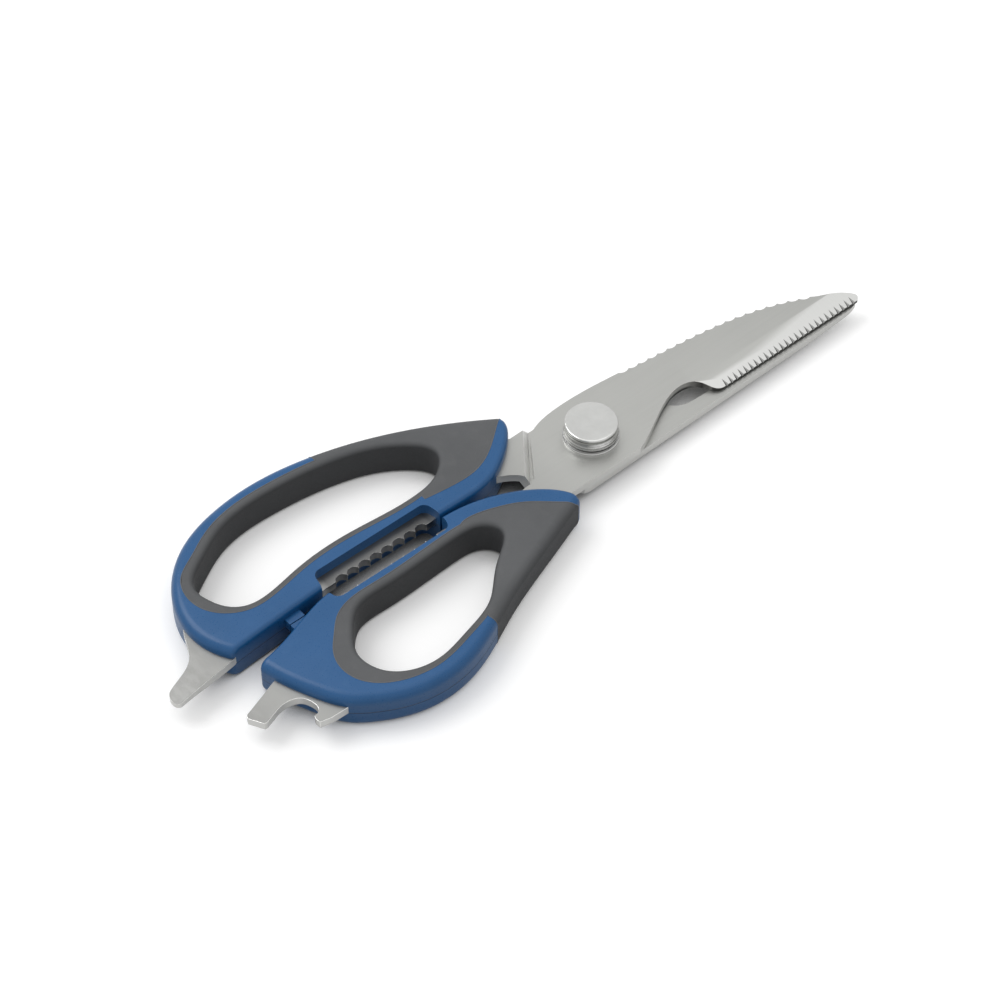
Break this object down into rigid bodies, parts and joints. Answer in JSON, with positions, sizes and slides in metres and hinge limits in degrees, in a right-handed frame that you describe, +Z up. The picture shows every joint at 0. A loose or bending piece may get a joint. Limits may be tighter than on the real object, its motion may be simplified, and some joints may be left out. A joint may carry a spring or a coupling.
{
  "type": "kitchen shears",
  "caption": "Kitchen shears with blue and grey handles, scaler back, bone notch, serrated edge, nutcracker jaws, screwdriver tip and bottle opener.",
  "frame": {"origin": "under the middle of the whole closed tool, on the surface that its handles rest on", "axes": "+X towards the blade tips, +Y towards the finger handle, +Z up through the pivot's cap"},
  "size_m": [0.24, 0.0868, 0.0143],
  "materials": {
    "blade_steel": "satin",
    "shell_plastic": "satin",
    "grip_rubber": "matte",
    "pivot_steel": "satin",
    "knob_steel": "satin",
    "knob_chrome": "polished"
  },
  "bodies": {
    "lower_half": {"lower_blade": "blade_steel", "finger_top_shell": "shell_plastic", "finger_bottom_shell": "shell_plastic", "finger_grip": "grip_rubber"},
    "upper_half": {"upper_blade": "blade_steel", "thumb_top_shell": "shell_plastic", "thumb_bottom_shell": "shell_plastic", "thumb_grip": "grip_rubber", "pivot_stud": "pivot_steel", "base_washer": "pivot_steel", "disc_spring": "pivot_steel", "knob_collar": "knob_steel", "knob_cap": "knob_chrome"}
  },
  "joints": [
    {"name": "blade_pivot", "type": "hinge", "parent": "lower_half", "child": "upper_half", "pos_m": [0.0243, -0.0019, 0.006], "axis": [0, 0, 1], "range_deg": [0, 75]}
  ]
}
